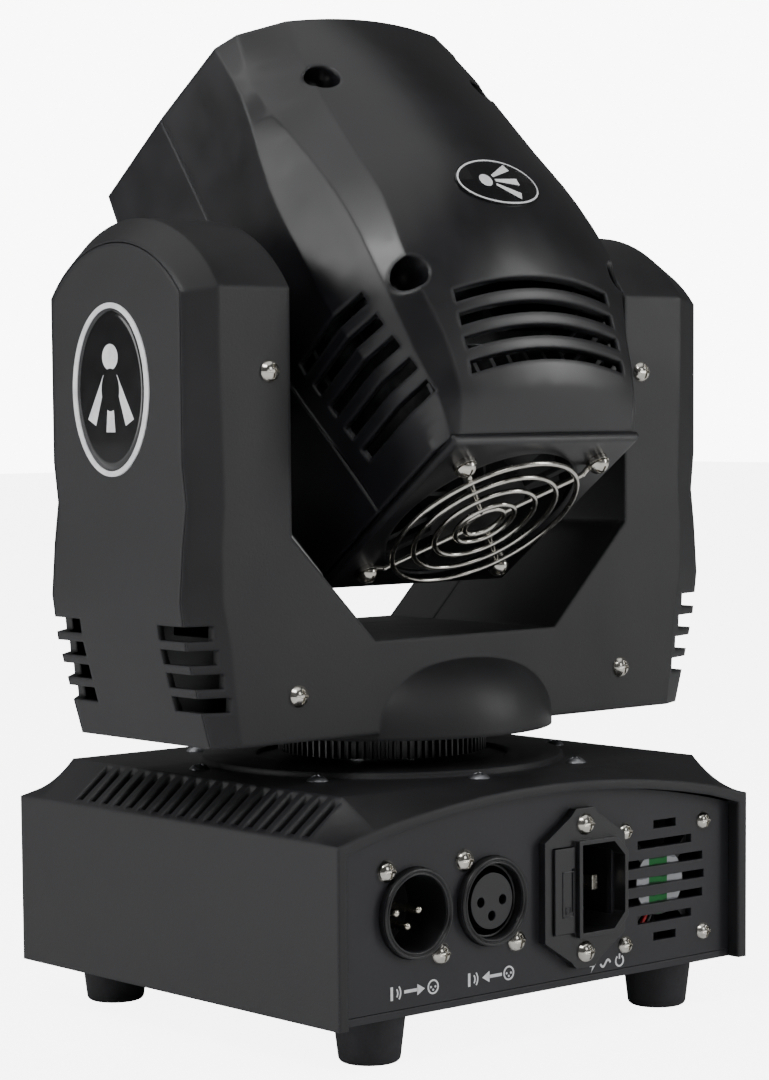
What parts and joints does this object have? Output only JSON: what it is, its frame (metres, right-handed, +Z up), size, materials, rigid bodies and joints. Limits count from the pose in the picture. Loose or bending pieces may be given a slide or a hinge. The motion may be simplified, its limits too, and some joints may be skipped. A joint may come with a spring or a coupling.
{
  "type": "moving head light",
  "caption": "Compact moving head spot light: sloped base with rear connectors and menu panel, U-shaped yoke that pans on a toothed ring, and a finned head that tilts.",
  "frame": {"origin": "on the pan axis, in the plane that the undersides of the four feet stand on", "axes": "+Z up along the pan axis; +Y towards the connector panel at the rear; -Y towards the menu panel at the front; the tilt axis runs along X and carries its belt drive in the +X arm"},
  "size_m": [0.1946, 0.1535, 0.2814],
  "materials": {
    "case_black": "fine grained black plastic",
    "head_black": "semi-gloss black plastic",
    "panel_black": "black powder coat",
    "rubber_black": "matt rubber",
    "steel_bright": "bright nickel plating",
    "steel_zinc": "zinc plated",
    "aluminium": "turned",
    "brass_pins": "plated contacts",
    "fan_black": "moulded fan plastic",
    "gear_white": "moulded nylon",
    "board_green": "circuit board",
    "window_smoke": "smoked window",
    "lens_glass": "polished glass",
    "badge_white": "printed white",
    "belt_black": "belt rubber",
    "insert_black": "smooth black insulator"
  },
  "bodies": {
    "base": {"base_housing": "case_black", "base_bottom_plate": "panel_black", "rear_panel": "panel_black", "front_panel": "panel_black", "display_window": "window_smoke", "display_board": "board_green", "feet": "rubber_black", "case_screws": "steel_zinc", "rigging_bush": "steel_zinc", "xlr_input_shell": "insert_black", "xlr_output_shell": "insert_black", "xlr_output_insert": "insert_black", "power_inlet": "insert_black", "connector_pins": "brass_pins", "base_fan_frame": "fan_black", "panel_screws": "steel_bright", "power_board": "board_green", "main_board": "board_green", "pan_motor": "steel_zinc", "pan_bearing": "gear_white"},
    "fuse_tray": {"fuse_drawer": "insert_black", "fuse": "lens_glass"},
    "base_fan": {"base_fan_rotor": "fan_black"},
    "pan_drive": {"pan_pinion": "gear_white"},
    "yoke": {"yoke_rear_shell": "case_black", "yoke_front_shell": "case_black", "side_panel_right": "case_black", "side_panel_left": "case_black", "yoke_frame": "panel_black", "arm_badges": "badge_white", "yoke_screws": "steel_bright", "pan_gear": "gear_white", "pan_shaft": "aluminium", "tilt_bearings": "gear_white", "tilt_motor": "steel_zinc", "tilt_belt": "belt_black"},
    "tilt_drive": {"tilt_pinion": "aluminium"},
    "head": {"head_upper_cover": "head_black", "head_lower_cover": "head_black", "head_rear_frame": "head_black", "head_fan_frame": "fan_black", "head_fan_guard": "steel_bright", "head_screws": "steel_bright", "front_bezel": "head_black", "optics_bracket": "steel_zinc", "wheel_motors": "steel_zinc", "heat_sink": "aluminium", "led_module": "aluminium", "tilt_shafts": "gear_white", "tilt_pulley": "gear_white", "head_badge": "badge_white"},
    "head_fan": {"head_fan_rotor": "fan_black"},
    "gobo": {"gobo_wheel": "steel_zinc"},
    "colour": {"colour_wheel": "lens_glass"},
    "focus": {"focus_barrel": "panel_black", "front_lens": "lens_glass"},
    "button_1": {"menu_button_1": "insert_black"},
    "button_2": {"menu_button_2": "insert_black"},
    "button_3": {"menu_button_3": "insert_black"},
    "button_4": {"menu_button_4": "insert_black"}
  },
  "joints": [
    {"name": "pan", "type": "hinge", "parent": "base", "child": "yoke", "pos_m": [0, 0, 0.08], "axis": [0, 0, 1], "range_deg": [-270, 270]},
    {"name": "pan_drive_spin", "type": "hinge", "parent": "base", "child": "pan_drive", "pos_m": [0, -0.0343, 0.077], "axis": [0, 0, 1], "range_deg": [-1620, 1620]},
    {"name": "tilt", "type": "hinge", "parent": "yoke", "child": "head", "pos_m": [0, 0, 0.184], "axis": [1, 0, 0], "range_deg": [-126.4, 53.6]},
    {"name": "tilt_drive_spin", "type": "hinge", "parent": "yoke", "child": "tilt_drive", "pos_m": [0.077, 0, 0.138], "axis": [1, 0, 0], "range_deg": [-382, 162]},
    {"name": "base_fan_spin", "type": "hinge", "parent": "base", "child": "base_fan", "pos_m": [-0.04735, 0.06, 0.0374], "axis": [0, 1, 0], "continuous": true},
    {"name": "head_fan_spin", "type": "hinge", "parent": "head", "child": "head_fan", "pos_m": [0, 0.037, 0.14916], "axis": [0, -0.5934, 0.8049], "continuous": true},
    {"name": "gobo_spin", "type": "hinge", "parent": "head", "child": "gobo", "pos_m": [0, 0.00722, 0.21988], "axis": [0, -0.5934, 0.8049], "continuous": true},
    {"name": "colour_spin", "type": "hinge", "parent": "head", "child": "colour", "pos_m": [0, -0.0201, 0.19626], "axis": [0, -0.5934, 0.8049], "continuous": true},
    {"name": "focus_slide", "type": "slide", "parent": "head", "child": "focus", "axis": [0, -0.5934, 0.8049], "range_m": [-0.003, 0.005]},
    {"name": "fuse_tray_slide", "type": "slide", "parent": "base", "child": "fuse_tray", "axis": [0, 1, 0], "range_m": [0, 0.018]},
    {"name": "menu_button_1_press", "type": "slide", "parent": "base", "child": "button_1", "axis": [0, 1, 0], "range_m": [0, 0.0008], "stiffness_N_per_m": 1500},
    {"name": "menu_button_2_press", "type": "slide", "parent": "base", "child": "button_2", "axis": [0, 1, 0], "range_m": [0, 0.0008], "stiffness_N_per_m": 1500},
    {"name": "menu_button_3_press", "type": "slide", "parent": "base", "child": "button_3", "axis": [0, 1, 0], "range_m": [0, 0.0008], "stiffness_N_per_m": 1500},
    {"name": "menu_button_4_press", "type": "slide", "parent": "base", "child": "button_4", "axis": [0, 1, 0], "range_m": [0, 0.0008], "stiffness_N_per_m": 1500}
  ],
  "couplings": [
    {"joint": "pan_drive_spin", "follows": "pan", "ratio": -6},
    {"joint": "tilt_drive_spin", "follows": "tilt", "ratio": 3.0159}
  ]
}
